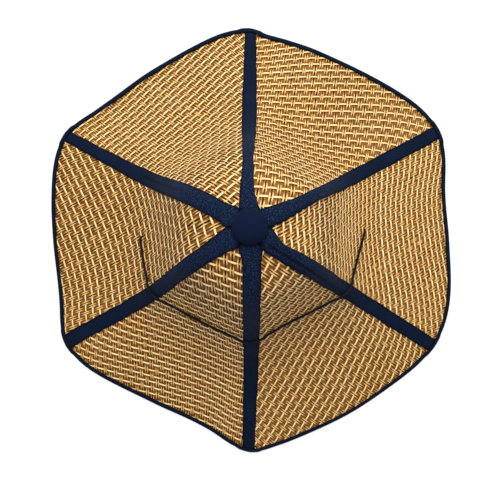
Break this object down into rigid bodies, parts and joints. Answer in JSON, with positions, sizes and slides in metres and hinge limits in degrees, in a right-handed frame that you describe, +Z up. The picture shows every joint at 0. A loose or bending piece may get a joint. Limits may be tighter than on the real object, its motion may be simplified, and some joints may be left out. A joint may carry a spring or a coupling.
{
  "type": "conical hat",
  "caption": "Six-panel woven straw sun hat with a bell crown, flared hexagonal brim, taped seams, bound edge, covered button and an elastic cord round the crown front.",
  "frame": {"origin": "middle of the brim outline, on the floor the brim rests on", "axes": "+Z up through the button, -Y to the front where the elastic cord lies, +X to the wearer's left as seen from the front"},
  "size_m": [0.34, 0.3601, 0.1425],
  "materials": {
    "straw": "golden tan woven paper straw, satin strands, dark gaps",
    "navy_tape": "matt navy woven cotton tape, sewn down",
    "button_cloth": "smooth navy cloth stretched over a dome",
    "steel": "plain pressed steel",
    "sweatband": "soft navy cotton band",
    "elastic": "black braided elastic"
  },
  "bodies": {
    "root": {"panel_right": "straw", "panel_back_right": "straw", "panel_back_left": "straw", "panel_left": "straw", "panel_front_left": "straw", "panel_front_right": "straw", "seam_tape_back_right": "navy_tape", "seam_tape_back": "navy_tape", "seam_tape_back_left": "navy_tape", "seam_tape_front_left": "navy_tape", "seam_tape_front": "navy_tape", "seam_tape_front_right": "navy_tape", "brim_binding": "navy_tape", "button_cover": "button_cloth", "button_shell": "steel", "button_back": "steel", "button_rivet": "steel", "button_washer": "steel", "sweatband": "sweatband", "elastic_cord": "elastic"}
  },
  "joints": []
}
